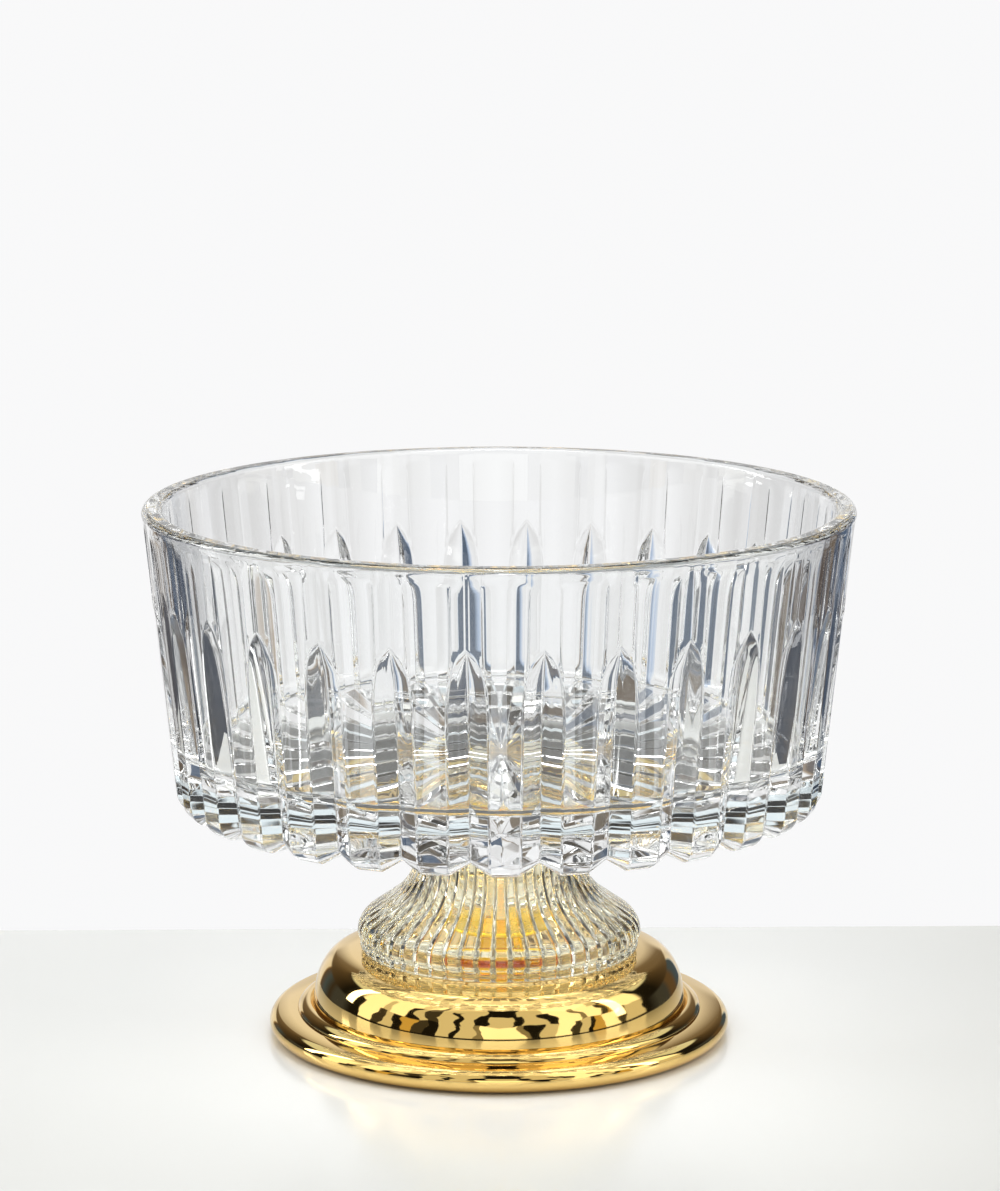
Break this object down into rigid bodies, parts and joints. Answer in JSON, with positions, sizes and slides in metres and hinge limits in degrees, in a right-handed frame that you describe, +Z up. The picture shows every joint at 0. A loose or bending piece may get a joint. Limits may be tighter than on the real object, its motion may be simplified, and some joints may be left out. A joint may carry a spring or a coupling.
{
  "type": "footed salad bowl",
  "caption": "Footed salad bowl: a lobed drum of cut glass with pointed mitre cuts, on a ribbed bell-shaped glass collar and a domed gold-plated foot.",
  "frame": {"origin": "on the table, at the centre of the foot's underside", "axes": "+Z up along the bowl's axis; -Y is the front, where one lobe faces the viewer"},
  "size_m": [0.2496, 0.2496, 0.1908],
  "materials": {
    "cut_glass": "clear crystal, cut and acid-polished",
    "ribbed_glass": "clear pressed glass, fire-polished ribs",
    "gold_plate": "mirror-polished gold plating",
    "zinc_steel": "bright zinc-plated steel",
    "clear_silicone": "translucent silicone sheet",
    "felt": "dark pressed felt"
  },
  "bodies": {
    "root": {"bowl": "cut_glass", "collar": "ribbed_glass", "foot": "gold_plate", "locating_boss": "gold_plate", "stud_plate": "gold_plate", "tie_rod": "gold_plate", "clamp_plate": "zinc_steel", "lock_washer": "zinc_steel", "hex_nut": "zinc_steel", "upper_gasket": "clear_silicone", "lower_gasket": "clear_silicone", "foot_pad": "felt"}
  },
  "joints": []
}
